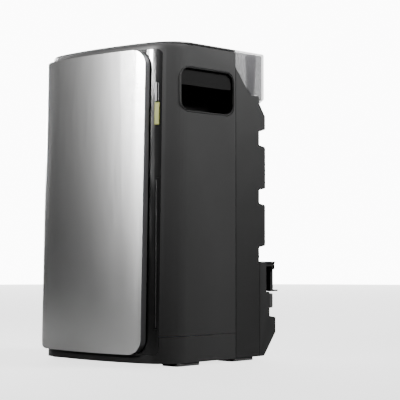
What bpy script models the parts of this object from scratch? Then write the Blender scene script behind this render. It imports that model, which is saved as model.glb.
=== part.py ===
"""A free-standing power station: a tall battery and inverter housing with a brushed front panel.

Metres, +Z up. The front faces -Y, the connectors face +Y. The origin is under the middle of the
whole object, on the surface that its feet stand on. Depths in the constants are measured backwards
from the front of the housing at floor level; behind() turns one into a place on the Y axis.
"""

import math

import bmesh
import bpy
from mathutils import Matrix, Vector

# ---- driving dimensions -------------------------------------------------------------------------
HEIGHT = 0.460
HALF = 0.1337                # half the housing's width
BOW = 0.018                  # how far the front curves back between its middle and its sides
CORNER_RUN = 0.040           # width taken by each rounded front corner
LEAN = 0.0098                # how far the top of the front leans back
SEAM = 0.1645                # depth where the main shell meets the rear guards
BACK = 0.2194                # depth of the rear guards between their teeth
CREST = 0.2340               # depth of the teeth's flat ends
BOX_BACK = 0.2578            # depth of the connector box
TAB_BACK = 0.2693            # depth of the flaps' finger tabs

WALL = 0.005                 # main shell and base tray
FLOOR = 0.0045               # underside of the base tray
BASE_TOP = 0.0418            # top of the base tray's skirt
SHELL_TOP = 0.4560
ROLL_START = 0.4490          # where the front starts to curve back into the top
ROLL_RADIUS = 0.0110
CAP_PLATE = 0.0018           # the top cap over its hollow, thinner than its edge
GAP = 0.0003                 # between touching pieces

TRIM_LOW, TRIM_HIGH = 0.0160, 0.4480
TRIM_CORNER = 0.0080
TRIM_ANGLE = math.radians(39.6)   # where the trim stops on the rounded corner
TRIM_FACE, TRIM_REAR, TRIM_SEAT = 0.0007, 0.0030, 0.0034  # insets from the housing's face

PANEL_PROUD = 0.0120
PANEL_LOW, PANEL_HIGH = 0.0170, 0.4470
PANEL_LEFT = -0.1186         # trims the end of the rolled left edge
PANEL_RIGHT = 0.1010         # the cut edge beside the trim
PANEL_ROLL_START = -0.1028   # where the left edge starts to roll back
PANEL_ROLL = 0.0250
PANEL_SHEET = 0.0016
PANEL_CORNER = 0.0220
PANEL_FLOAT = 0.0016         # open gap between the panel's return and the trim

CONTROL_X = 0.1103           # middle of the button and its window, on the rounded corner
LIGHT_X = 0.1120             # middle of the light bar
BUTTON_LOW, BUTTON_HIGH = 0.3405, 0.3722
WINDOW_LOW, WINDOW_HIGH = 0.3732, 0.4015
LIGHT_LOW, LIGHT_HIGH = 0.0525, 0.2655
CONTROL_WIDTH = 0.0070
CONTROL_BOARD = WALL + 0.0063  # inset of the board behind the controls
BOARD = 0.0016               # thickness of a circuit board
LIGHT_WIDTH = 0.0040

HANDLE_FRONT, HANDLE_BACK = 0.0465, 0.1615
HANDLE_LOW, HANDLE_HIGH = 0.3598, 0.4255
HANDLE_CORNER = 0.0160
HANDLE_DEPTH = 0.0360
HANDLE_WALL = 0.0022
GRIP_LOW = 0.3990

GUARD = 0.0040               # thickness of a rear guard
GUARD_INNER = HALF - GUARD
INNER_HALF = 0.1290          # half width of what lies between the guards
SHELF_LOW, SHELF_HIGH = 0.3925, 0.3955
HOOD_BACK = 0.2306
HOOD_WALL = 0.0025
WELL_X, WELL_DEPTH = 0.1215, 0.2135

RECESS_DEPTH = 0.2360        # wall that carries the sockets
RECESS_LOW, RECESS_HIGH = 0.1005, 0.1440
SOCKET_Z = 0.1223
SOCKET_RADIUS = 0.0210
FLAP_WIDTH = 0.0585
FLAP_CENTRES = {"right": 0.09925, "middle": 0.03655}
FLAP_FRONT, FLAP_REAR = 0.2515, 0.2580
PIN_DEPTH, PIN_Z, PIN_RADIUS = 0.2545, 0.1375, 0.0015
LUG_CENTRES = (0.00515, 0.0679, 0.13065)
LUG_WIDTH = 0.0026
INLET_X = -0.0180
PV_CENTRES = (-0.050, -0.074, -0.098, -0.122)

FOOT_HEIGHT = 0.0042
CELL_SIZE = Vector((0.0640, 0.1150, 0.1120))
CELL_PITCH = 0.0650
CELL_FRONT = 0.0340


def leaned(depth, z):
    """The depth of a point of the housing at height z, when it is at depth at floor level."""
    return depth + LEAN * z / HEIGHT * max(0.0, SEAM - depth) / SEAM


def rolled(depth, z):
    """How far a point near the top of the front moves back, where the front curves into the top."""
    rise = min(max(0.0, z - ROLL_START), ROLL_RADIUS)
    front_share = max(0.0, 1.0 - max(0.0, depth) / SEAM) ** 2
    return (ROLL_RADIUS - math.sqrt(ROLL_RADIUS**2 - rise**2)) * front_share


FRONT_MOST = leaned(-PANEL_PROUD, PANEL_LOW)
MIDDLE_DEPTH = (FRONT_MOST + TAB_BACK) / 2


def behind(depth):
    """The Y of a point that lies this far behind the front of the housing."""
    return depth - MIDDLE_DEPTH


# ---- materials ----------------------------------------------------------------------------------
def material(name, colour, roughness, metallic=0.0, alpha=1.0):
    made = bpy.data.materials.new(name)
    made.use_nodes = True
    shader = made.node_tree.nodes["Principled BSDF"]
    shader.inputs["Base Color"].default_value = (*colour, 1.0)
    shader.inputs["Roughness"].default_value = roughness
    shader.inputs["Metallic"].default_value = metallic
    shader.inputs["Alpha"].default_value = alpha
    made.diffuse_color = (*colour, alpha)
    made.roughness, made.metallic = roughness, metallic
    return made


def make_materials():
    return {
        "shell": material("shell", (0.075, 0.075, 0.078), 0.42, 0.6),
        "steel": material("steel", (0.62, 0.62, 0.61), 0.30, 1.0),
        "gloss": material("gloss", (0.020, 0.020, 0.022), 0.12, 0.4),
        "dark": material("dark", (0.030, 0.030, 0.032), 0.60),
        "guard": material("guard", (0.050, 0.050, 0.052), 0.55),
        "clear": material("clear", (0.62, 0.63, 0.64), 0.15, alpha=0.35),
        "olive": material("olive", (0.42, 0.43, 0.20), 0.55),
        "light": material("light", (0.85, 0.86, 0.88), 0.25),
        "rubber": material("rubber", (0.012, 0.012, 0.012), 0.85),
        "sink": material("sink", (0.060, 0.060, 0.062), 0.50, 0.8),
        "cell": material("cell", (0.10, 0.20, 0.38), 0.50),
        "board": material("board", (0.02, 0.16, 0.07), 0.55),
        "copper": material("copper", (0.72, 0.38, 0.20), 0.35, 1.0),
        "part": material("part", (0.10, 0.10, 0.11), 0.50),
    }


# ---- modelling helpers --------------------------------------------------------------------------
def clear_scene():
    for obj in list(bpy.data.objects):
        bpy.data.objects.remove(obj)


def collection(name):
    made = bpy.data.collections.new(name)
    bpy.context.scene.collection.children.link(made)
    return made


def move_to(obj, group):
    for old in list(obj.users_collection):
        old.objects.unlink(obj)
    group.objects.link(obj)
    return obj


def named(obj, name, paint):
    obj.name = name
    obj.data.name = name
    obj.data.materials.clear()
    obj.data.materials.append(paint)
    return move_to(obj, PARTS)


def cutter(obj, name):
    """Turns an object into a hidden tool for a Boolean."""
    obj.name = name
    obj.hide_render = True
    obj.display_type = "WIRE"
    return move_to(obj, CUTTERS)


def boolean(obj, operation, *others):
    for other in others:
        made = obj.modifiers.new(f"{operation.lower()} {other.name}", "BOOLEAN")
        made.operation = operation
        made.object = other
    return obj


def bevelled(obj, width, segments=2, angle=30.0):
    made = obj.modifiers.new("soft edges", "BEVEL")
    made.width = width
    made.segments = segments
    made.limit_method = "ANGLE"
    made.angle_limit = math.radians(angle)
    return obj


def smooth(obj, angle=35.0):
    obj.data.shade_smooth()
    obj.data.set_sharp_from_angle(angle=math.radians(angle))
    return obj


def box(low, high):
    """A block between two corners, with its origin in its middle."""
    low, high = Vector(low), Vector(high)
    bpy.ops.mesh.primitive_cube_add(size=1.0, location=(low + high) / 2)
    obj = bpy.context.object
    obj.data.transform(Matrix.Diagonal((*(high - low), 1.0)))
    return obj


def cylinder(radius, start, end, vertices=32):
    """A round bar between two points."""
    start, end = Vector(start), Vector(end)
    bpy.ops.mesh.primitive_cylinder_add(
        vertices=vertices, radius=radius, depth=(end - start).length, location=(start + end) / 2
    )
    obj = bpy.context.object
    obj.rotation_euler = (end - start).to_track_quat("Z", "Y").to_euler()
    return smooth(obj)


def turned(profile, location, steps=32, backwards=True):
    """A round piece from (radius, height) pairs, top to bottom, along +Y, or +Z if not backwards."""
    mesh = bpy.data.meshes.new("turned")
    mesh.from_pydata([(r, 0.0, h) for r, h in profile], [(i, i + 1) for i in range(len(profile) - 1)], [])
    obj = bpy.data.objects.new("turned", mesh)
    bpy.context.scene.collection.objects.link(obj)
    obj.location = location
    if backwards:
        obj.rotation_euler = (-math.pi / 2, 0.0, 0.0)
    screw = obj.modifiers.new("turn", "SCREW")
    screw.steps = screw.render_steps = steps
    screw.use_merge_vertices = True
    screw.merge_threshold = 0.00001
    return obj


AXIS_ROWS = {
    "X": Matrix(((0, 0, 1), (1, 0, 0), (0, 1, 0))),   # outline is (y, z)
    "Y": Matrix(((1, 0, 0), (0, 0, 1), (0, 1, 0))),   # outline is (x, z)
    "Z": Matrix(((1, 0, 0), (0, 1, 0), (0, 0, 1))),   # outline is (x, y)
}


def extruded(outline, axis, start, end):
    """A flat outline drawn as a filled curve, and stretched along an axis from start to end."""
    curve = bpy.data.curves.new("outline", "CURVE")
    curve.dimensions = "2D"
    curve.fill_mode = "BOTH"
    curve.extrude = (end - start) / 2
    spline = curve.splines.new("POLY")
    spline.points.add(len(outline) - 1)
    for point, (a, b) in zip(spline.points, outline):
        point.co = (a, b, 0.0, 1.0)
    spline.use_cyclic_u = True
    drawn = bpy.data.objects.new("outline", curve)
    bpy.context.scene.collection.objects.link(drawn)
    mesh = bpy.data.meshes.new_from_object(drawn.evaluated_get(bpy.context.evaluated_depsgraph_get()))
    bpy.data.objects.remove(drawn)
    turn = AXIS_ROWS[axis].to_4x4()
    mesh.transform(turn @ Matrix.Translation((0.0, 0.0, (start + end) / 2)))
    bm = bmesh.new()
    bm.from_mesh(mesh)
    bmesh.ops.remove_doubles(bm, verts=bm.verts, dist=0.000001)
    bmesh.ops.recalc_face_normals(bm, faces=bm.faces)
    bm.to_mesh(mesh)
    bm.free()
    obj = bpy.data.objects.new("extruded", mesh)
    bpy.context.scene.collection.objects.link(obj)
    return obj


def upright(outline, low, high):
    """A plan outline of (x, depth) pairs raised from low to high, leaning back with the housing's front."""
    obj = extruded(outline, "Z", low, high)
    bm = bmesh.new()
    bm.from_mesh(obj.data)
    steps = 6
    for step in range(steps + 1):
        level = ROLL_START + ROLL_RADIUS * math.sin(math.pi / 2 * step / steps)
        if low + 0.0004 < level < high - 0.0004:
            everything = list(bm.verts) + list(bm.edges) + list(bm.faces)
            bmesh.ops.bisect_plane(bm, geom=everything, plane_co=(0, 0, level), plane_no=(0, 0, 1))
    for vertex in bm.verts:
        depth, z = vertex.co.y, vertex.co.z
        vertex.co.y = behind(leaned(depth, z) + rolled(depth, z))
    bm.to_mesh(obj.data)
    bm.free()
    return obj


def rounded(a_low, b_low, a_high, b_high, radius, low_radius=None, steps=6):
    """A rectangle with round corners. low_radius rounds the two corners at b_low."""
    low_radius = radius if low_radius is None else low_radius
    corners = (
        (a_high, b_low, low_radius, -90), (a_high, b_high, radius, 0),
        (a_low, b_high, radius, 90), (a_low, b_low, low_radius, 180),
    )
    points = []
    for a, b, r, first in corners:
        if r == 0:
            points.append((a, b))
            continue
        centre_a = a - math.copysign(r, a - (a_low + a_high) / 2)
        centre_b = b - math.copysign(r, b - (b_low + b_high) / 2)
        for step in range(steps + 1):
            angle = math.radians(first + 90 * step / steps)
            points.append((centre_a + r * math.cos(angle), centre_b + r * math.sin(angle)))
    return points


# ---- the housing's plan -------------------------------------------------------------------------
ARC_START = math.atan(2 * BOW / HALF * (HALF - CORNER_RUN) / HALF)
ARC_RADIUS = CORNER_RUN / (1 - math.sin(ARC_START))
ARC_X = HALF - CORNER_RUN - ARC_RADIUS * math.sin(ARC_START)
ARC_DEPTH = BOW * ((HALF - CORNER_RUN) / HALF) ** 2 + ARC_RADIUS * math.cos(ARC_START)


def bow(x):
    return BOW * (x / HALF) ** 2


def half_plan(inset, arc_end=math.pi / 2, side_end=None, bow_steps=6, arc_steps=9):
    """The right half of the housing's plan, from its middle round the corner, moved inwards by inset."""
    points = []
    for step in range(bow_steps):
        x = (HALF - CORNER_RUN) * step / bow_steps
        normal = Vector((2 * BOW * x / HALF**2, -1.0)).normalized()
        points.append((x - inset * normal.x, bow(x) - inset * normal.y))
    for step in range(arc_steps + 1):
        angle = ARC_START + (arc_end - ARC_START) * step / arc_steps
        reach = ARC_RADIUS - inset
        points.append((ARC_X + reach * math.sin(angle), ARC_DEPTH - reach * math.cos(angle)))
    if side_end is not None:
        points.append((HALF - inset, side_end))
    return points


def whole_plan(inset, **limits):
    """Both halves of the plan, from its left end to its right end."""
    right = half_plan(inset, **limits)
    return [(-x, depth) for x, depth in right[:0:-1]] + right


def band(outer, inner, **limits):
    """The closed outline between two insets of the plan."""
    return whole_plan(outer, **limits) + whole_plan(inner, **limits)[::-1]


def corner_block(width, outer, inner, low, high, x=CONTROL_X):
    """A block on the rounded corner at x, as wide as width, between two insets."""
    angle = math.asin((x - ARC_X) / ARC_RADIUS)
    along = Vector((math.cos(angle), math.sin(angle)))
    outward = Vector((math.sin(angle), -math.cos(angle)))
    face = Vector((ARC_X, ARC_DEPTH)) + ARC_RADIUS * outward
    corners = [
        face - outward * inset + along * side * width / 2
        for inset, side in ((outer, -1), (outer, 1), (inner, 1), (inner, -1))
    ]
    return upright([tuple(c) for c in corners], low, high)


def control_outward():
    """The horizontal direction in which the corner faces at CONTROL_X."""
    angle = math.asin((CONTROL_X - ARC_X) / ARC_RADIUS)
    return Vector((math.sin(angle), -math.cos(angle), 0.0))


def trim_cutter(name):
    """The room for the trim, in front of the shell and base tray."""
    margin = GAP / ARC_RADIUS
    outline = band(-0.0020, TRIM_SEAT, arc_end=TRIM_ANGLE + margin, arc_steps=5)
    block = upright(outline, TRIM_LOW - GAP, TRIM_HIGH + GAP)
    boolean(block, "INTERSECT", trim_frame(GAP, name + "_corners"))
    return cutter(block, name)


def trim_frame(margin, name):
    """A round-cornered block seen from the front, that gives the trim its corners."""
    reach = half_plan(0.0, arc_end=TRIM_ANGLE)[-1][0] + margin
    outline = rounded(-reach, TRIM_LOW - margin, reach, TRIM_HIGH + margin, TRIM_CORNER)
    return cutter(extruded(outline, "Y", behind(-0.03), behind(0.06)), name)


def corner_openings(name):
    """Openings through the wall for the button with its window, and for the light bar."""
    reach = (-0.0020, WALL + 0.0020)
    control = corner_block(CONTROL_WIDTH + 2 * GAP, *reach, BUTTON_LOW - GAP, WINDOW_HIGH + GAP)
    light = corner_block(LIGHT_WIDTH + 2 * GAP, *reach, LIGHT_LOW - GAP, LIGHT_HIGH + GAP, LIGHT_X)
    return cutter(control, name + "_control"), cutter(light, name + "_light")


# ---- housing ------------------------------------------------------------------------------------
def make_main_shell(paints):
    shell = upright(band(0.0, WALL, side_end=SEAM), BASE_TOP + 0.0006, SHELL_TOP)
    named(shell, "main_shell", paints["shell"])
    boolean(shell, "DIFFERENCE", trim_cutter("shell_trim_room"), *corner_openings("shell_opening"))
    opening = rounded(
        behind(HANDLE_FRONT), HANDLE_LOW, behind(HANDLE_BACK), HANDLE_HIGH, HANDLE_CORNER
    )
    for side, name in ((1, "right"), (-1, "left")):
        ends = sorted((side * (HALF + 0.002), side * (HALF - WALL - 0.012)))
        tool = cutter(extruded(opening, "X", *ends), f"handle_opening_{name}")
        boolean(shell, "DIFFERENCE", tool)
    return smooth(shell)


def make_top(paints):
    seal = upright(band(0.0012, WALL - 0.0002, side_end=SEAM), SHELL_TOP + GAP, SHELL_TOP + 0.0011)
    named(seal, "top_seal", paints["rubber"])
    cap_low = SHELL_TOP + 0.0011 + GAP
    cap = upright(whole_plan(0.0, side_end=SEAM), cap_low, HEIGHT)
    named(cap, "top_cap", paints["shell"])
    bevelled(cap, 0.0011, segments=2, angle=60)
    lip = upright(whole_plan(WALL + 0.0006, side_end=SEAM - 0.004), 0.4500, cap_low + 0.001)
    boolean(cap, "UNION", cutter(lip, "cap_lip"))
    hollow = upright(whole_plan(WALL + 0.0030, side_end=SEAM - 0.0065), 0.4480, HEIGHT - CAP_PLATE)
    return boolean(cap, "DIFFERENCE", cutter(hollow, "cap_hollow"))


def make_base_tray(paints):
    tray = upright(whole_plan(0.0, side_end=SEAM), FLOOR, BASE_TOP)
    named(tray, "base_tray", paints["shell"])
    hollow = upright(whole_plan(WALL, side_end=SEAM + 0.01), FLOOR + 0.0040, BASE_TOP + 0.01)
    rear = box(
        (-INNER_HALF, behind(SEAM - 0.002), FLOOR), (INNER_HALF, behind(BACK - GAP), FLOOR + 0.0040)
    )
    boolean(tray, "DIFFERENCE", cutter(hollow, "tray_hollow"), trim_cutter("tray_trim_room"))
    boolean(tray, "UNION", cutter(rear, "tray_rear_floor"))
    return smooth(tray)


def make_feet(paints):
    inner, outer = 0.1000, 0.1325
    for row, (front, back) in {"front": (0.0405, 0.0902), "rear": (0.1586, 0.2085)}.items():
        for side, name in ((1, "right"), (-1, "left")):
            ends = sorted((side * inner, side * outer))
            outline = rounded(ends[0], behind(front), ends[1], behind(back), 0.006, steps=4)
            foot = extruded(outline, "Z", 0.0, FOOT_HEIGHT)
            named(foot, f"foot_{row}_{name}", paints["rubber"])


def make_trim(paints):
    trim = upright(
        band(TRIM_FACE, TRIM_REAR, arc_end=TRIM_ANGLE, arc_steps=5), TRIM_LOW, TRIM_HIGH
    )
    named(trim, "front_trim", paints["gloss"])
    boolean(trim, "INTERSECT", trim_frame(0.0001, "trim_corners"))
    boolean(trim, "DIFFERENCE", *corner_openings("trim_opening"))
    return smooth(trim)


def panel_outline(shrink, back_shift):
    """The panel's plan, shrunk all round by a sheet's thickness or not. back_shift moves its open back."""
    front = PANEL_PROUD - shrink
    start = PANEL_ROLL_START
    slope = math.atan(2 * BOW * -start / HALF**2)
    centre = Vector((start, bow(start) - PANEL_PROUD))
    centre += PANEL_ROLL * Vector((math.sin(slope), math.cos(slope)))
    roll, angle = [], slope
    while True:
        reach = PANEL_ROLL - shrink
        x, depth = centre.x - reach * math.sin(angle), centre.y - reach * math.cos(angle)
        if depth > bow(x) - PANEL_FLOAT + back_shift or angle > math.radians(88):
            break
        roll.append((x, depth))
        angle += math.radians(7)
    edge = PANEL_RIGHT - shrink
    steps = 14
    face = [start + (edge - start) * step / steps for step in range(1, steps + 1)]
    left = roll[-1][0]
    back = [edge + (left - edge) * step / steps for step in range(steps + 1)]
    return (
        roll[::-1]
        + [(x, bow(x) - front) for x in face]
        + [(x, bow(x) - PANEL_FLOAT + back_shift) for x in back]
    )


def make_front_panel(paints):
    panel = upright(panel_outline(0.0, 0.0), PANEL_LOW - 0.001, PANEL_HIGH + 0.001)
    named(panel, "front_panel", paints["steel"])
    hollow = upright(panel_outline(PANEL_SHEET, 0.004), PANEL_LOW, PANEL_HIGH)
    for shape, shrink, name in ((panel, 0.0, "panel_corners"), (hollow, PANEL_SHEET, "hollow_corners")):
        frame = extruded(
            rounded(
                PANEL_LEFT + shrink, PANEL_LOW + shrink, PANEL_RIGHT - shrink + 0.0001, PANEL_HIGH - shrink,
                PANEL_CORNER - shrink,
            ),
            "Y", behind(-0.04), behind(0.06),
        )
        boolean(shape, "INTERSECT", cutter(frame, name))
    boolean(panel, "DIFFERENCE", cutter(hollow, "panel_hollow"))
    return smooth(panel)


def make_panel_brackets(paints):
    outer, inner = -(PANEL_PROUD - PANEL_SHEET - GAP), TRIM_FACE - GAP
    reach = 0.0780
    steps = 8
    xs = [-reach + 2 * reach * step / steps for step in range(steps + 1)]
    outline = [(x, bow(x) + outer) for x in xs] + [(x, bow(x) + inner) for x in reversed(xs)]
    for name, low in (("upper", 0.3800), ("lower", 0.0640)):
        bracket = upright(outline, low, low + 0.0180)
        named(bracket, f"panel_bracket_{name}", paints["part"])


def make_controls(paints):
    window = corner_block(CONTROL_WIDTH, 0.0002, CONTROL_BOARD - GAP, WINDOW_LOW, WINDOW_HIGH)
    named(window, "status_window", paints["light"])
    bevelled(window, 0.0006)
    light = corner_block(LIGHT_WIDTH, 0.0005, CONTROL_BOARD - 0.0008, LIGHT_LOW, LIGHT_HIGH, LIGHT_X)
    named(light, "light_bar", paints["gloss"])
    bevelled(light, 0.0004, segments=1)

    button = corner_block(CONTROL_WIDTH, -0.0010, WALL + 0.0004, BUTTON_LOW, BUTTON_HIGH)
    named(button, "power_button", paints["olive"])
    bevelled(button, 0.0008)
    middle = (BUTTON_LOW + BUTTON_HIGH) / 2
    outward = control_outward()
    centre = Vector((ARC_X, ARC_DEPTH, 0.0)) + ARC_RADIUS * outward
    origin = Vector((centre.x, behind(leaned(centre.y, middle)), middle))
    button.data.transform(Matrix.Translation(-origin))
    button.location = origin

    switch = corner_block(0.0060, WALL + 0.0022, CONTROL_BOARD - GAP, middle - 0.0045, middle + 0.0045)
    named(switch, "button_switch", paints["part"])
    board = corner_block(0.0150, CONTROL_BOARD, CONTROL_BOARD + BOARD, 0.0480, 0.4100)
    named(board, "control_board", paints["board"])


def make_handles(paints):
    clear = GAP
    front, back = behind(HANDLE_FRONT), behind(HANDLE_BACK)
    outer = rounded(front + clear, HANDLE_LOW + clear, back - clear, HANDLE_HIGH - clear, HANDLE_CORNER)
    inset = clear + HANDLE_WALL
    inner = rounded(
        front + inset, HANDLE_LOW + inset, back - inset, HANDLE_HIGH - inset, HANDLE_CORNER - HANDLE_WALL
    )
    inset += GAP
    bar = rounded(
        front + inset, GRIP_LOW, back - inset, HANDLE_HIGH - inset, HANDLE_CORNER - HANDLE_WALL,
        low_radius=0.004,
    )
    for side, name in ((1, "right"), (-1, "left")):
        cup = extruded(outer, "X", *sorted((side * (HALF - 0.0006), side * (HALF - HANDLE_DEPTH))))
        named(cup, f"handle_cup_{name}", paints["dark"])
        ends = sorted((side * (HALF + 0.002), side * (HALF - HANDLE_DEPTH + HANDLE_WALL)))
        boolean(cup, "DIFFERENCE", cutter(extruded(inner, "X", *ends), f"cup_hollow_{name}"))
        smooth(cup)
        grip = extruded(bar, "X", *sorted((side * (HALF - 0.0035), side * (HALF - 0.0135))))
        named(grip, f"handle_grip_{name}", paints["dark"])
        bevelled(grip, 0.0020)


# ---- rear ---------------------------------------------------------------------------------------
def guard_profile(front):
    """The side view of a rear guard: a slope under the hood, a ledge, and teeth along the back."""
    teeth = ((0.3200, 0.2562), (0.2320, 0.1699))
    points = [
        (front, FLOOR), (front, 0.4345), (0.1960, 0.3990), (0.2010, 0.3960), (0.2165, 0.3960),
        (0.2187, 0.3944), (0.2209, 0.3844), (CREST, 0.3664), (CREST, 0.3470), (CREST - 0.0016, 0.3455),
        (BACK, 0.3420),
    ]
    for high, low in teeth:
        points += [
            (BACK, high + 0.0022), (CREST - 0.0018, high), (CREST, high - 0.0018),
            (CREST, low + 0.0018), (CREST - 0.0018, low), (BACK, low - 0.0022),
        ]
    points += [(BACK, FLOOR)]
    return [(behind(depth), z) for depth, z in points]


def make_guards(paints):
    profile = guard_profile(SEAM + 0.0008)
    for side, name in ((1, "right"), (-1, "left")):
        guard = extruded(profile, "X", *sorted((side * HALF, side * GUARD_INNER)))
        named(guard, f"rear_guard_{name}", paints["guard"])
        bevelled(guard, 0.0006, segments=1, angle=40)


def make_rear_cover(paints):
    cover = box(
        (-INNER_HALF, behind(SEAM + 0.0012), FLOOR + 0.0045), (INNER_HALF, behind(SEAM + 0.0042), 0.4520)
    )
    return named(cover, "rear_cover", paints["part"])


SINK_LOW, SINK_HIGH = 0.1510, 0.3870
SINK_FRONT = SEAM + 0.0046
FIN_COUNT, FIN_THICKNESS, SINK_HALF = 17, 0.0026, 0.1240


def fin_profile():
    """The side view of a cooling fin, cut across where the guards' teeth are cut."""
    tip = CREST - 0.0030
    root = SINK_FRONT + 0.0030
    notches = ((0.3480, 0.3190), (0.2580, 0.2302), (0.1717, 0.1600))
    points = [(root, SINK_LOW), (root, SINK_HIGH), (tip - 0.010, SINK_HIGH), (tip, SINK_HIGH - 0.012)]
    for high, low in notches:
        points += [(tip, high), (BACK - 0.006, high), (BACK - 0.006, low), (tip, low)]
    points += [(tip, SINK_LOW)]
    return [(behind(depth), z) for depth, z in points]


def make_heat_sink(paints):
    plate_back = behind(SINK_FRONT + 0.0060)
    sink = box((-SINK_HALF, behind(SINK_FRONT), SINK_LOW), (SINK_HALF, plate_back, SINK_HIGH))
    named(sink, "heat_sink", paints["sink"])
    first = extruded(fin_profile(), "X", -FIN_THICKNESS / 2, FIN_THICKNESS / 2)
    spread = SINK_HALF - FIN_THICKNESS / 2 - 0.0002
    for number in range(FIN_COUNT):
        fin = bpy.data.objects.new(f"fin_{number}", first.data)
        bpy.context.scene.collection.objects.link(fin)
        fin.location.x = -spread + 2 * spread * number / (FIN_COUNT - 1)
        boolean(sink, "UNION", cutter(fin, f"fin_{number}"))
    bpy.data.objects.remove(first)
    return sink


def make_shelves(paints):
    front = SEAM + 0.0046
    upper = box(
        (-INNER_HALF, behind(front), SHELF_LOW), (INNER_HALF, behind(BACK - 0.001), SHELF_HIGH)
    )
    named(upper, "hood_shelf", paints["guard"])
    for side in (1, -1):
        x, y = side * WELL_X, behind(WELL_DEPTH)
        hole = cylinder(0.0018, (x, y, SHELF_LOW - 0.002), (x, y, SHELF_HIGH + 0.002))
        boolean(upper, "DIFFERENCE", cutter(hole, f"shelf_screw_hole_{side}"))
    lower = box((-INNER_HALF, behind(front), 0.1436), (INNER_HALF, behind(BACK - 0.001), 0.1464))
    named(lower, "connector_shelf", paints["guard"])


def make_hood(paints):
    edge = 0.0006
    points = [
        (SEAM + 0.0015, 0.4352), (SEAM + 0.0015, HEIGHT), (HOOD_BACK - 0.0020, HEIGHT),
        (HOOD_BACK, HEIGHT - 0.0020), (HOOD_BACK, 0.3915), (0.2216, 0.3850),
        (0.2187 + edge, 0.3947), (0.2165 + edge, 0.3960 + edge), (0.2013, 0.3960 + edge),
        (0.1964, 0.3990 + edge),
    ]
    hood = extruded([(behind(depth), z) for depth, z in points], "X", -HALF, HALF)
    named(hood, "rain_hood", paints["clear"])
    hollow = box(
        (-HALF + HOOD_WALL, behind(SEAM - 0.01), 0.3800),
        (HALF - HOOD_WALL, behind(HOOD_BACK - HOOD_WALL), HEIGHT - HOOD_WALL),
    )
    boolean(hood, "DIFFERENCE", cutter(hollow, "hood_hollow"))
    foot, seat, top = SHELF_HIGH + GAP, 0.4000, HEIGHT
    for side, name in ((1, "right"), (-1, "left")):
        place = (side * WELL_X, behind(WELL_DEPTH), 0.0)
        lip = top - 0.0004
        well = turned(((0, lip), (0.0085, lip), (0.0058, foot), (0, foot)), place, 24, backwards=False)
        bore = turned(
            (
                (0, top + 0.001), (0.0069, top + 0.001), (0.0042, seat), (0.0018, seat),
                (0.0018, foot - 0.001), (0, foot - 0.001),
            ),
            place, 24, backwards=False,
        )
        boolean(hood, "UNION", cutter(well, f"well_{name}"))
        boolean(hood, "DIFFERENCE", cutter(bore, f"well_bore_{name}"))
        screw = turned(
            (
                (0, 0.4036), (0.0026, 0.4036), (0.0036, 0.4026), (0.0036, seat + GAP), (0.0015, seat + GAP),
                (0.0015, SHELF_LOW - 0.003), (0, SHELF_LOW - 0.003),
            ),
            place, 16, backwards=False,
        )
        named(screw, f"hood_screw_{name}", paints["part"])


# ---- connector box ------------------------------------------------------------------------------
def make_connector_box(paints):
    start = BACK + 0.0006
    outer = [
        (start, FLOOR), (0.2290, FLOOR), (0.2316, 0.0058), (BOX_BACK, 0.0392), (BOX_BACK, 0.0610),
        (0.2566, 0.0620), (0.2436, 0.0640), (0.2436, RECESS_LOW), (RECESS_DEPTH, RECESS_LOW),
        (RECESS_DEPTH, RECESS_HIGH), (0.2576, RECESS_HIGH), (0.2576, 0.1463), (0.2222, 0.1463),
        (start, 0.1441),
    ]
    inner = [
        (start - 0.004, FLOOR + 0.003), (0.2280, FLOOR + 0.003), (0.2550, 0.0402), (0.2550, 0.0590),
        (0.2408, 0.0612), (0.2408, RECESS_LOW - 0.0028), (RECESS_DEPTH - 0.0028, RECESS_LOW - 0.0028),
        (RECESS_DEPTH - 0.0028, 0.1435), (start - 0.004, 0.1435),
    ]
    half = HALF - 0.0004
    body = extruded([(behind(depth), z) for depth, z in outer], "X", -half, half)
    named(body, "connector_box", paints["guard"])
    hollow = extruded([(behind(depth), z) for depth, z in inner], "X", 0.0030 - half, half - 0.0030)
    boolean(body, "DIFFERENCE", cutter(hollow, "box_hollow"))
    for number, x in enumerate(LUG_CENTRES):
        ends = (x - LUG_WIDTH / 2, x + LUG_WIDTH / 2)
        ear = (behind(PIN_DEPTH - 0.0034), PIN_Z - 0.0036, behind(0.2576), RECESS_HIGH + 0.001)
        lug = extruded(rounded(*ear, 0, low_radius=0.0026), "X", *ends)
        boolean(body, "UNION", cutter(lug, f"lug_{number}"))
        low = (ends[0], behind(RECESS_DEPTH - 0.001), 0.1390)
        web = box(low, (ends[1], behind(0.2530), RECESS_HIGH + 0.001))
        boolean(body, "UNION", cutter(web, f"lug_web_{number}"))
    pin_room = cylinder(
        PIN_RADIUS + GAP, (-0.002, behind(PIN_DEPTH), PIN_Z), (0.1345, behind(PIN_DEPTH), PIN_Z), 16
    )
    boolean(body, "DIFFERENCE", cutter(pin_room, "lug_bore"))
    holes = [(x, SOCKET_Z, SOCKET_RADIUS) for x in FLAP_CENTRES.values()]
    holes += [(INLET_X, SOCKET_Z, 0.0140)] + [(x, SOCKET_Z, 0.0070) for x in PV_CENTRES]
    for number, (x, z, radius) in enumerate(holes):
        hole = cylinder(radius + GAP, (x, behind(0.2300), z), (x, behind(RECESS_DEPTH + 0.002), z))
        boolean(body, "DIFFERENCE", cutter(hole, f"wall_hole_{number}"))
    return body


def make_terminal_cover(paints):
    cover = box((0.0700, behind(0.2436 + GAP), 0.0760), (0.1327, behind(0.2535), 0.0985))
    named(cover, "terminal_cover", paints["dark"])
    bevelled(cover, 0.0022, segments=3)


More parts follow.
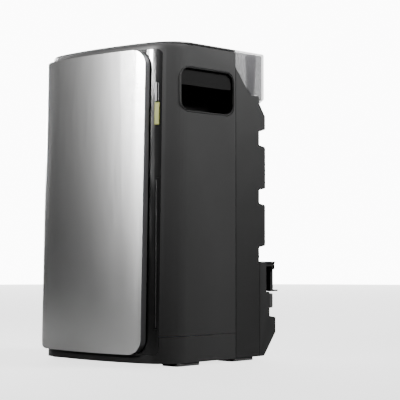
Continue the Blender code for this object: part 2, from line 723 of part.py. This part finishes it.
def make_outlets(paints):
    front, rear, recess = 0.2270, 0.2495, 0.0150
    for name, x in FLAP_CENTRES.items():
        place = (x, behind(front), SOCKET_Z)
        depth = rear - front
        socket = turned(
            (
                (0, depth - recess), (0.0193, depth - recess), (0.0193, depth), (SOCKET_RADIUS, depth),
                (SOCKET_RADIUS, 0), (0, 0),
            ),
            place,
        )
        named(socket, f"outlet_socket_{name}", paints["dark"])
        for side in (-1, 1):
            spot = Vector((x + side * 0.0095, behind(rear - recess), SOCKET_Z))
            hole = cylinder(0.0025, spot - Vector((0, 0.0020, 0)), spot + Vector((0, 0.0020, 0)), 12)
            boolean(socket, "DIFFERENCE", cutter(hole, f"contact_{name}_{side}"))
        make_flap(paints, name, x)


def make_flap(paints, name, x):
    """A hinged cover that hangs in front of a socket, with a finger tab along its lower edge."""
    reach = FLAP_WIDTH / 2
    knuckle = 0.0035
    tab_low, plate_low = 0.1005 + GAP, 0.1035
    profile = [
        (FLAP_FRONT, tab_low), (TAB_BACK, tab_low), (TAB_BACK, plate_low - 0.0003), (FLAP_REAR, plate_low),
        (FLAP_REAR, PIN_Z - 0.006),
    ]
    for step in range(9):
        angle = math.radians(-10 + 200 * step / 8)
        profile.append((PIN_DEPTH + knuckle * math.cos(angle), PIN_Z + knuckle * math.sin(angle)))
    profile.append((FLAP_FRONT, PIN_Z - 0.006))
    local = [(depth - PIN_DEPTH, z - PIN_Z) for depth, z in profile]
    flap = extruded(local, "X", -reach, reach)
    named(flap, f"outlet_flap_{name}", paints["guard"])
    flap.location = (x, behind(PIN_DEPTH), PIN_Z)
    axis = Vector((0, behind(PIN_DEPTH), PIN_Z))
    past = Vector((reach + 0.002, 0, 0))
    bore = cylinder(PIN_RADIUS + GAP, axis + Vector((x, 0, 0)) - past, axis + Vector((x, 0, 0)) + past, 16)
    boolean(flap, "DIFFERENCE", cutter(bore, f"flap_bore_{name}"))
    ends = Vector((reach + 0.0016, 0, 0))
    pin = cylinder(PIN_RADIUS, axis + Vector((x, 0, 0)) - ends, axis + Vector((x, 0, 0)) + ends, 16)
    named(pin, f"flap_pin_{name}", paints["part"])


def make_inlet(paints):
    front, flange, nose = 0.2270, RECESS_DEPTH + GAP, 0.2520
    place = (INLET_X, behind(front), SOCKET_Z)
    inlet = turned(
        (
            (0, nose - 0.010 - front), (0.0105, nose - 0.010 - front), (0.0105, nose - front),
            (0.0130, nose - front), (0.0130, flange + 0.0030 - front), (0.0175, flange + 0.0030 - front),
            (0.0175, flange - front), (0.0140, flange - front), (0.0140, 0), (0, 0),
        ),
        place,
    )
    named(inlet, "grid_inlet", paints["dark"])
    mouth = flange + 0.0030 + GAP - front
    end = nose + 0.0025 - front
    cap = turned(
        (
            (0, end), (0.0145, end), (0.0160, end - 0.0015), (0.0160, mouth), (0.0133, mouth),
            (0.0133, nose + GAP - front), (0, nose + GAP - front),
        ),
        place,
    )
    return named(cap, "grid_inlet_cap", paints["rubber"])


def make_pv_connectors(paints):
    front, flange, nose = 0.2290, RECESS_DEPTH + GAP, 0.2550
    for number, x in enumerate(PV_CENTRES, 1):
        connector = turned(
            (
                (0, nose - 0.012 - front), (0.0019, nose - 0.012 - front), (0.0019, nose - front),
                (0.0062, nose - front), (0.0070, nose - 0.0010 - front), (0.0070, flange + 0.0045 - front),
                (0.0092, flange + 0.0045 - front), (0.0092, flange - front), (0.0070, flange - front),
                (0.0070, 0), (0, 0),
            ),
            (x, behind(front), SOCKET_Z), 24,
        )
        named(connector, f"pv_connector_{number}", paints["dark"])


# ---- inside -------------------------------------------------------------------------------------
def make_battery(paints):
    back = CELL_FRONT + CELL_SIZE.y
    reach = 1.5 * CELL_PITCH
    tray_top = 0.0130
    tray = box((-reach, behind(CELL_FRONT - 0.002), FLOOR + 0.0043), (reach, behind(back + 0.002), tray_top))
    named(tray, "battery_tray", paints["part"])
    number = 0
    level = tray_top + GAP
    for row, name in enumerate(("cell_spacer", "battery_clamp")):
        for column in range(3):
            number += 1
            x = (column - 1) * CELL_PITCH
            low = Vector((x - CELL_SIZE.x / 2, behind(CELL_FRONT), level))
            cell = box(low, low + CELL_SIZE)
            named(cell, f"battery_cell_{number}", paints["cell"])
            for side in (-1, 1):
                top = Vector((x, behind(CELL_FRONT + CELL_SIZE.y * (0.5 + side * 0.32)), level + CELL_SIZE.z))
                post = cylinder(0.0070, top - Vector((0, 0, 0.002)), top + Vector((0, 0, 0.0030)), 16)
                boolean(cell, "UNION", cutter(post, f"post_{number}_{side}"))
        level += CELL_SIZE.z + 0.0030 + GAP
        plate = box((-reach, behind(CELL_FRONT), level), (reach, behind(back), level + 0.0030))
        named(plate, name, paints["part"])
        level += 0.0030 + GAP
    board = box((-0.090, behind(0.0360), level), (0.090, behind(0.125), level + BOARD))
    named(board, "battery_board", paints["board"])
    busbar = box((-0.1000, behind(0.132), level), (0.1000, behind(0.144), level + 0.0020))
    named(busbar, "main_busbar", paints["copper"])


def make_inverter(paints):
    board_rear = SEAM + 0.0009
    board = box((-0.0900, behind(board_rear - BOARD), 0.2800), (0.0900, behind(board_rear), 0.4400))
    named(board, "inverter_board", paints["board"])
    face = board_rear - BOARD - GAP
    transformer = box((-0.0750, behind(face - 0.048), 0.2900), (-0.0150, behind(face), 0.3450))
    named(transformer, "transformer", paints["part"])
    bevelled(transformer, 0.002)
    choke = turned(
        ((0.0110, 0.022), (0.0240, 0.022), (0.0240, 0.0), (0.0110, 0.0), (0.0110, 0.022)),
        (-0.045, behind(face - 0.022), 0.3850), 24,
    )
    named(choke, "filter_choke", paints["copper"])
    for number, (x, z) in enumerate(((0.024, 0.310), (0.060, 0.310)), 1):
        can = cylinder(0.0125, (x, behind(face - 0.045), z), (x, behind(face), z), 20)
        named(can, f"capacitor_{number}", paints["part"])


def main():
    paints = make_materials()
    for step in (
        make_main_shell, make_top, make_base_tray, make_feet, make_trim, make_front_panel,
        make_panel_brackets,
        make_controls, make_handles, make_guards, make_rear_cover, make_heat_sink, make_shelves, make_hood,
        make_connector_box, make_terminal_cover, make_outlets, make_inlet, make_pv_connectors, make_battery,
        make_inverter,
    ):
        step(paints)


clear_scene()
PARTS = collection("power_station")
CUTTERS = collection("cutters")
main()
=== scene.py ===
"""Looks, light and camera for the power station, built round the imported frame."""

import math

import bmesh
import bpy
from mathutils import Matrix, Vector


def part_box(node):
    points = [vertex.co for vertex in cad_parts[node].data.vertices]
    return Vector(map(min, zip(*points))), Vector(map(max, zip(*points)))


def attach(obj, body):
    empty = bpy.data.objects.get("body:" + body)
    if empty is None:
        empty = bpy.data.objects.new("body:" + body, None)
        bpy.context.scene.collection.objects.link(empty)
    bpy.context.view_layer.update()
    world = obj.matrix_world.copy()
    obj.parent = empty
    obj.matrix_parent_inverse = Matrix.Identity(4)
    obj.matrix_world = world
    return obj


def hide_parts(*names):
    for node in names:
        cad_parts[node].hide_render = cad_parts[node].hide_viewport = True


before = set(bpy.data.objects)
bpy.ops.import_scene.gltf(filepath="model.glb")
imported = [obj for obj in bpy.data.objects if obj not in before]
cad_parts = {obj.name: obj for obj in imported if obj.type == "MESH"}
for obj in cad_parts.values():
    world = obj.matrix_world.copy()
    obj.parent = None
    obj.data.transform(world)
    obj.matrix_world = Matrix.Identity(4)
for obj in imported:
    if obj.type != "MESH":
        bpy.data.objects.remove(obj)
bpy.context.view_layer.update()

HOUSING = "housing"
CORNER_OUT = Vector((0.56, -0.83, 0.0))   # the way the rounded corner faces at the controls
HOUSING_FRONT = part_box("base_tray")[0].y
WELD_DISTANCE = 0.000002
FLAT_ANGLE = math.radians(0.4)    # facets flatter than this are one face
EDGE_HIGHLIGHT = 1.9                   # how much lighter convex edges are painted: a painted highlight
GUIDE_DEPTH = 0.0004
GUIDE_PROUD = 0.1                 # share of its depth that a guide's middle stands proud


# ---- node helpers -------------------------------------------------------------------------------
class Nodes:
    """A short way to add and join shader nodes."""

    def __init__(self, name):
        self.material = bpy.data.materials.new(name)
        self.material.use_nodes = True
        self.tree = self.material.node_tree
        self.shader = self.tree.nodes["Principled BSDF"]
        self.place = self.add("ShaderNodeTexCoord").outputs["Object"]

    def add(self, kind, **settings):
        node = self.tree.nodes.new(kind)
        for key, value in settings.items():
            setattr(node, key, value)
        return node

    def link(self, start, end):
        self.tree.links.new(start, end)

    def stretched(self, scale):
        mapping = self.add("ShaderNodeMapping")
        mapping.inputs["Scale"].default_value = scale
        self.link(self.place, mapping.inputs["Vector"])
        return mapping.outputs["Vector"]

    def noise(self, scale, detail=4.0, stretch=(1, 1, 1)):
        node = self.add("ShaderNodeTexNoise")
        node.inputs["Scale"].default_value = scale
        node.inputs["Detail"].default_value = detail
        self.link(self.stretched(stretch), node.inputs["Vector"])
        return node.outputs["Fac"]

    def ranged(self, value, low, high, start=0.3, end=0.7):
        node = self.add("ShaderNodeMapRange")
        node.inputs["From Min"].default_value = start
        node.inputs["From Max"].default_value = end
        node.inputs["To Min"].default_value = low
        node.inputs["To Max"].default_value = high
        self.link(value, node.inputs["Value"])
        return node.outputs["Result"]

    def mix(self, factor, first, second):
        node = self.add("ShaderNodeMix", data_type="RGBA")
        self.link(factor, node.inputs["Factor"])
        for socket, value in ((node.inputs["A"], first), (node.inputs["B"], second)):
            if isinstance(value, tuple):
                socket.default_value = (*value, 1.0)
            else:
                self.link(value, socket)
        return node.outputs["Result"]

    def bump(self, height, distance, strength=1.0):
        node = self.add("ShaderNodeBump")
        node.inputs["Distance"].default_value = distance
        node.inputs["Strength"].default_value = strength
        self.link(height, node.inputs["Height"])
        self.link(node.outputs["Normal"], self.shader.inputs["Normal"])

    def edge_highlight(self, base, highlit, start=0.52, end=0.60):
        """Lightens the colour along convex edges: a painted highlight where edges catch the light."""
        raised = self.add("ShaderNodeNewGeometry").outputs["Pointiness"]
        return self.mix(self.ranged(raised, 0.0, 0.55, start, end), base, highlit)


def shade(colour, factor):
    return tuple(min(1.0, c * factor) for c in colour)


def moulded(
    name, colour, roughness, grain=1800.0, depth=0.00004, metallic=0.0, shine=0.5, patchy=0.10
):
    """Textured plastic or powder coat: a fine pebble grain, patchy sheen and edges lightened as a
    painted highlight.
    """
    n = Nodes(name)
    patch = n.ranged(n.noise(14.0, 3.0), 0.0, 1.0)
    tone = n.mix(patch, shade(colour, 1.0 - patchy), shade(colour, 1.0 + patchy))
    # convex edges lightened in colour: a painted highlight
    n.link(n.edge_highlight(tone, shade(colour, EDGE_HIGHLIGHT)), n.shader.inputs["Base Color"])
    rough = n.ranged(n.noise(40.0), roughness - patchy / 2, roughness + patchy / 2)
    n.link(rough, n.shader.inputs["Roughness"])
    n.shader.inputs["Metallic"].default_value = metallic
    n.shader.inputs["Specular IOR Level"].default_value = shine
    n.bump(n.noise(grain, 2.0), depth, 0.45)
    return n.material


def polished(name, colour, roughness=0.10):
    """Gloss plastic with faint wipe marks in its shine."""
    n = Nodes(name)
    tone = n.mix(n.ranged(n.noise(20.0), 0.0, 1.0), shade(colour, 0.9), shade(colour, 1.1))
    n.link(tone, n.shader.inputs["Base Color"])
    wipes = n.noise(90.0, 6.0, (1, 1, 0.2))
    n.link(n.ranged(wipes, roughness - 0.03, roughness + 0.07), n.shader.inputs["Roughness"])
    n.shader.inputs["Coat Weight"].default_value = 0.04
    n.shader.inputs["Coat Roughness"].default_value = 0.10
    n.bump(n.noise(60.0), 0.00002, 0.2)
    return n.material


def brushed(name, colour, roughness, along="z", depth=0.00003):
    """Metal brushed in one direction: long thin streaks in its colour, shine and surface."""
    stretch = {"z": (1.0, 1.0, 0.006), "x": (0.006, 1.0, 1.0), "y": (1.0, 0.006, 1.0)}[along]
    n = Nodes(name)
    streak = n.noise(2600.0, 5.0, stretch)
    wide = n.noise(700.0, 3.0, stretch)
    tone = n.mix(n.ranged(streak, 0.0, 1.0), shade(colour, 0.97), shade(colour, 1.03))
    # convex edges lightened in colour: a painted highlight
    n.link(n.edge_highlight(tone, shade(colour, 1.25)), n.shader.inputs["Base Color"])
    n.link(n.ranged(wide, roughness - 0.01, roughness + 0.015), n.shader.inputs["Roughness"])
    n.shader.inputs["Metallic"].default_value = 1.0
    n.bump(streak, depth, 0.05)
    return n.material


def smoked(name):
    """Smoked translucent plastic, a little uneven, with a fine moulding haze."""
    n = Nodes(name)
    haze = n.ranged(n.noise(18.0, 2.0), 0.0, 1.0)
    tone = n.mix(haze, (0.055, 0.055, 0.057), (0.075, 0.075, 0.078))
    n.link(tone, n.shader.inputs["Base Color"])
    n.link(n.ranged(n.noise(35.0, 2.0), 0.16, 0.22), n.shader.inputs["Roughness"])
    n.shader.inputs["Alpha"].default_value = 0.60
    return n.material


def make_materials():
    return {
        "shell": moulded("shell", (0.0105, 0.0105, 0.0105), 0.46, shine=0.14, patchy=0.025),
        "steel": brushed("panel_steel", (0.66, 0.66, 0.655), 0.24),
        # painted shade: a dull dark stand-in for the panel steel on its fold and rear faces
        "return": moulded("panel_return_painted_shade", (0.020, 0.020, 0.021), 0.50, metallic=0.5),
        "gloss": polished("gloss_black", (0.0035, 0.0035, 0.0035), 0.13),
        "pocket": moulded("pocket", (0.006, 0.006, 0.006), 0.62, shine=0.05),
        # painted shade: the grip's colour is darkened to the shade it sits in inside the handle
        # pocket
        "grip": moulded("grip", (0.0045, 0.0045, 0.0045), 0.60, shine=0.0),
        "guard": moulded("guard", (0.0080, 0.0080, 0.0080), 0.48, shine=0.18, patchy=0.03),
        "fitting": moulded("fitting", (0.018, 0.018, 0.018), 0.45, 1200.0),
        "smoked": smoked("smoked_clear"),
        "olive": moulded("olive", (0.066, 0.070, 0.012), 0.42, 2500.0, 0.00002, shine=0.3),
        "glow": polished("light_guide", (0.13, 0.13, 0.13), 0.25),
        "dim_glow": polished("dim_light_guide", (0.022, 0.022, 0.022), 0.30),
        "rubber": moulded("rubber", (0.010, 0.010, 0.010), 0.82, 900.0, 0.00008),
        "sink": brushed("anodised", (0.060, 0.060, 0.062), 0.42, "z"),
        "cell": moulded("cell_sleeve", (0.05, 0.13, 0.30), 0.35, 600.0, 0.00002),
        "board": moulded("solder_mask", (0.012, 0.10, 0.035), 0.38, 700.0, 0.00003),
        "copper": brushed("copper", (0.72, 0.36, 0.20), 0.32, "x"),
        "bracket": moulded("bracket", (0.09, 0.09, 0.095), 0.45, metallic=0.6),
        "tray": moulded("tray", (0.06, 0.06, 0.062), 0.55),
        "bolt": brushed("blackened_steel", (0.10, 0.10, 0.102), 0.34, "x"),
        "core": moulded("varnished_core", (0.11, 0.09, 0.07), 0.40, 500.0),
    }


# ---- shaping helpers ----------------------------------------------------------------------------
def finer(node, body, finish, width=0.0006, segments=3, angle=32.0, even=True):
    """A finished copy of a CAD piece: facets joined into true faces, and sharp edges rounded."""
    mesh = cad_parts[node].data.copy()
    bm = bmesh.new()
    bm.from_mesh(mesh)
    bmesh.ops.remove_doubles(bm, verts=bm.verts, dist=WELD_DISTANCE)
    bmesh.ops.dissolve_limit(
        bm, angle_limit=FLAT_ANGLE, verts=bm.verts, edges=bm.edges, use_dissolve_boundaries=False
    )
    bm.to_mesh(mesh)
    bm.free()
    piece = bpy.data.objects.new(f"{node}_finish", mesh)
    bpy.context.scene.collection.objects.link(piece)
    mesh.materials.clear()
    mesh.materials.append(finish)
    mesh.shade_smooth()
    mesh.set_sharp_from_angle(angle=math.radians(angle))
    if width:
        bevel = piece.modifiers.new("soft edges", "BEVEL")
        bevel.width = width
        bevel.segments = segments
        bevel.limit_method = "ANGLE"
        bevel.angle_limit = math.radians(angle)
        bevel.harden_normals = True
        bevel.use_clamp_overlap = True
    if even:
        weighted = piece.modifiers.new("even shading", "WEIGHTED_NORMAL")
        weighted.keep_sharp = True
    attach(piece, body)
    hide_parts(node)
    return piece


def repaint(node, finish):
    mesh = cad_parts[node].data
    mesh.materials.clear()
    mesh.materials.append(finish)


# ---- pieces -------------------------------------------------------------------------------------
# node: (body, material, slot, edge rounding in metres)
FINISHES = {
    "main_shell": (HOUSING, "shell", "shell", 0.0005),
    "top_cap": (HOUSING, "shell", "shell", 0.0),
    "base_tray": (HOUSING, "shell", "shell", 0.0005),
    "front_trim": (HOUSING, "gloss", "gloss_black", 0.0004),
    "front_panel": (HOUSING, "steel", "panel_steel", 0.0005),
    "handle_cup_right": (HOUSING, "pocket", "matt_black", 0.0007),
    "handle_cup_left": (HOUSING, "pocket", "matt_black", 0.0007),
    "rear_guard_right": (HOUSING, "guard", "guard", 0.0004),
    "rear_guard_left": (HOUSING, "guard", "guard", 0.0004),
    "rain_hood": (HOUSING, "smoked", "smoked_clear", 0.0004),
    "connector_box": (HOUSING, "guard", "guard", 0.0005),
    "heat_sink": (HOUSING, "sink", "sink", 0.0003),
    "outlet_flap_right": ("flap_right", "guard", "guard", 0.0004),
    "outlet_flap_middle": ("flap_middle", "guard", "guard", 0.0004),
    "grid_inlet_cap": ("inlet_cap", "rubber", "rubber", 0.0003),
    "power_button": ("button", "olive", "olive", 0.0018),
    "terminal_cover": (HOUSING, "fitting", "matt_black", 0.0016),
    "handle_grip_right": (HOUSING, "grip", "matt_black", 0.0012),
    "handle_grip_left": (HOUSING, "grip", "matt_black", 0.0012),
    "hood_shelf": (HOUSING, "guard", "guard", 0.0004),
    "connector_shelf": (HOUSING, "guard", "guard", 0.0004),
}
FITTINGS = (
    "outlet_socket_right", "outlet_socket_middle", "grid_inlet",
    "pv_connector_1", "pv_connector_2", "pv_connector_3", "pv_connector_4",
)
FEET = ("foot_front_left", "foot_front_right", "foot_rear_left", "foot_rear_right")
FINISHES.update({node: (HOUSING, "fitting", "matt_black", 0.0004) for node in FITTINGS})
FINISHES.update({node: (HOUSING, "rubber", "rubber", 0.0006) for node in FEET})

PAINTED = {
    "gloss": ("light_bar", "status_window"),
    "rubber": ("top_seal",),
    "cell": tuple(f"battery_cell_{i}" for i in range(1, 7)),
    "board": ("control_board", "battery_board", "inverter_board"),
    "copper": ("main_busbar", "filter_choke"),
    "bracket": ("panel_bracket_upper", "panel_bracket_lower", "rear_cover"),
    "tray": (
        "battery_tray", "cell_spacer", "battery_clamp", "button_switch", "capacitor_1", "capacitor_2",
    ),
    "bolt": ("hood_screw_left", "hood_screw_right", "flap_pin_right", "flap_pin_middle"),
    "core": ("transformer",),
}


# Pieces whose bowed faces are shaded from facet to facet, without flattening.
CURVED = ("front_trim", "front_panel")


def paint_shade_on_returns(mesh, finish):
    """Gives the panel's right fold and its rear faces a dull dark colour: painted shade on faces of
    the steel sheet that turn away from the light.
    """
    mesh.materials.append(finish)
    for face in mesh.polygons:
        if face.normal.x > 0.6 or face.normal.y > 0.3:
            face.material_index = 1


def dress(paints):
    for node, (body, paint, slot, width) in FINISHES.items():
        piece = finer(node, body, paints[paint], width, even=node not in CURVED)
        # the panel's fold and rear faces get painted shade
        if node == "front_panel":
            paint_shade_on_returns(piece.data, paints["return"])
    for paint, nodes in PAINTED.items():
        for node in nodes:
            repaint(node, paints[paint])


def guide_line(name, node, width, start, trim_ends):
    """A light guide set in a control on the corner: a thin strip just proud of its face."""
    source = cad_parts[node]
    bm = bmesh.new()
    bm.from_mesh(source.data)
    outward = [f for f in bm.faces if abs(f.normal.z) < 0.2 and f.normal.dot(CORNER_OUT) > 0.9]
    normal = max(outward, key=lambda f: f.calc_area()).normal.copy()
    level = [f for f in outward if f.normal.dot(normal) > 0.999]
    area = sum(f.calc_area() for f in level)
    centre = sum((f.calc_center_median() * f.calc_area() for f in level), Vector()) / area
    bm.free()
    low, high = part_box(node)
    across = Vector((0, 0, 1)).cross(normal).normalized()
    up = normal.cross(across)
    if up.z < 0:
        up = -up
    middle = (low.z + high.z) / 2
    centre = centre + up * ((middle - centre.z) / up.z)
    bpy.ops.mesh.primitive_cube_add(size=1.0)
    piece = bpy.context.object
    piece.name = name
    piece.data.transform(Matrix.Diagonal((width, high.z - low.z - 2 * trim_ends, GUIDE_DEPTH, 1.0)))
    turn = Matrix((across, up, normal)).transposed().to_4x4()
    place = centre + across * start + normal * (GUIDE_DEPTH * GUIDE_PROUD)
    piece.data.transform(Matrix.Translation(place) @ turn)
    edge = piece.modifiers.new("soft edges", "BEVEL")
    edge.width = 0.00015
    edge.segments = 2
    return piece


def make_guides(paints):
    for name, node, width, start, trim_ends, paint in (
        ("status_light_guide", "status_window", 0.0024, -0.0020, 0.0010, "glow"),
        ("status_light_guide_dim", "status_window", 0.0009, 0.0018, 0.0014, "dim_glow"),
        ("long_light_guide", "light_bar", 0.0007, -0.0006, 0.0030, "dim_glow"),
    ):
        piece = guide_line(name, node, width, start, trim_ends)
        piece.data.materials.append(paints[paint])
        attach(piece, HOUSING)


# ---- stage --------------------------------------------------------------------------------------
FLOOR_RADIUS = 4.2
FLOOR_DROP = 0.0002           # keeps the feet from sharing a plane with the floor
WALL_HEIGHT = 3.2
WALL_HALF_ANGLE = 0.42
WALL_GLOW = 11.0
FLOOR_SEEN_GLOW = 2.2


def pale(name, glow, tone, seen_glow=None):
    """A plain stage surface. seen_glow is its brightness to the camera, where that differs."""
    n = Nodes(name)
    colour = n.mix(n.ranged(n.noise(3.0), 0.0, 1.0), (tone,) * 3, (tone * 1.04,) * 3)
    n.link(colour, n.shader.inputs["Base Color"])
    n.shader.inputs["Roughness"].default_value = 0.85
    n.shader.inputs["Emission Color"].default_value = (1.0, 1.0, 1.0, 1.0)
    n.shader.inputs["Emission Strength"].default_value = glow
    if seen_glow is not None:
        direct = n.add("ShaderNodeLightPath").outputs["Is Camera Ray"]
        n.link(n.ranged(direct, glow, seen_glow, 0.0, 1.0), n.shader.inputs["Emission Strength"])
    return n.material


def make_floor():
    """A round pale floor, and a pale wall behind the object as the camera sees it."""
    bpy.ops.mesh.primitive_circle_add(vertices=96, radius=FLOOR_RADIUS, fill_type="NGON")
    floor = bpy.context.object
    floor.name = "floor"
    floor.location.z = -FLOOR_DROP
    floor.data.materials.append(pale("pale_floor", 0.02, 0.09, FLOOR_SEEN_GLOW))
    behind = math.atan2(math.cos(CAMERA_YAW), math.sin(CAMERA_YAW))
    steps = 24
    bm = bmesh.new()
    foot = [
        bm.verts.new((FLOOR_RADIUS * math.cos(a), FLOOR_RADIUS * math.sin(a), -0.01))
        for a in (behind + WALL_HALF_ANGLE * (2 * k / steps - 1) for k in range(steps + 1))
    ]
    edges = [bm.edges.new(pair) for pair in zip(foot, foot[1:])]
    raised = bmesh.ops.extrude_edge_only(bm, edges=edges)["geom"]
    top = [v for v in raised if isinstance(v, bmesh.types.BMVert)]
    bmesh.ops.translate(bm, verts=top, vec=(0.0, 0.0, WALL_HEIGHT))
    mesh = bpy.data.meshes.new("backdrop")
    bm.to_mesh(mesh)
    bm.free()
    mesh.shade_smooth()
    wall = bpy.data.objects.new("backdrop", mesh)
    bpy.context.scene.collection.objects.link(wall)
    mesh.materials.append(pale("pale_wall", WALL_GLOW, 0.86))


def softbox(name, place, target, size, power, spread=180.0):
    light = bpy.data.lights.new(name, "AREA")
    light.shape = "RECTANGLE"
    light.size, light.size_y = size
    light.energy = power
    light.spread = math.radians(spread)
    obj = bpy.data.objects.new(name, light)
    bpy.context.scene.collection.objects.link(obj)
    obj.location = place
    obj.rotation_euler = (Vector(target) - Vector(place)).to_track_quat("-Z", "Y").to_euler()


def make_light():
    middle = (0.0, 0.0, 0.25)
    softbox("front_softbox", (-0.18, -1.75, 1.05), (0.03, 0.0, 0.80), (0.55, 0.75), 33.0, 40.0)
    softbox("right_softbox", (1.3, 0.9, 2.0), (0.1, 0.0, 0.80), (0.9, 0.9), 30.0, 42.0)
    softbox("left_rim", (-2.2, 0.3, 0.9), (0.0, 0.0, 0.5), (0.22, 0.9), 8.0, 50.0)
    softbox("rear_softbox", (0.5, 2.3, 1.5), middle, (1.4, 1.2), 44.0)
    world = bpy.data.worlds.new("studio")
    bpy.context.scene.world = world
    world.use_nodes = True
    tree = world.node_tree
    background = tree.nodes["Background"]
    seen = tree.nodes.new("ShaderNodeLightPath").outputs["Is Camera Ray"]
    level = tree.nodes.new("ShaderNodeMapRange")
    level.inputs["To Min"].default_value = 0.04
    level.inputs["To Max"].default_value = 6.0
    tree.links.new(seen, level.inputs["Value"])
    tree.links.new(level.outputs["Result"], background.inputs["Strength"])
    background.inputs["Color"].default_value = (1.0, 1.0, 1.0, 1.0)


# The camera stands low, off the object's front right corner, and looks slightly up.
CAMERA_RIGHT = 1.4011
CAMERA_BEFORE_HOUSING = 1.3072
CAMERA_HEIGHT = 0.1656
CAMERA_YAW, CAMERA_PITCH = -0.738, 0.037
LENS = 118.55


def make_camera():
    data = bpy.data.cameras.new("camera")
    data.lens = LENS
    data.sensor_width = 36.0
    data.clip_start, data.clip_end = 0.05, 60.0
    camera = bpy.data.objects.new("camera", data)
    bpy.context.scene.collection.objects.link(camera)
    camera.location = (CAMERA_RIGHT, HOUSING_FRONT - CAMERA_BEFORE_HOUSING, CAMERA_HEIGHT)
    ahead = Vector((
        math.sin(CAMERA_YAW) * math.cos(CAMERA_PITCH),
        math.cos(CAMERA_YAW) * math.cos(CAMERA_PITCH),
        math.sin(CAMERA_PITCH),
    ))
    camera.rotation_mode = "QUATERNION"
    camera.rotation_quaternion = ahead.to_track_quat("-Z", "Y")
    bpy.context.scene.camera = camera


make_camera()
PAINTS = make_materials()
dress(PAINTS)
make_guides(PAINTS)
make_floor()
make_light()
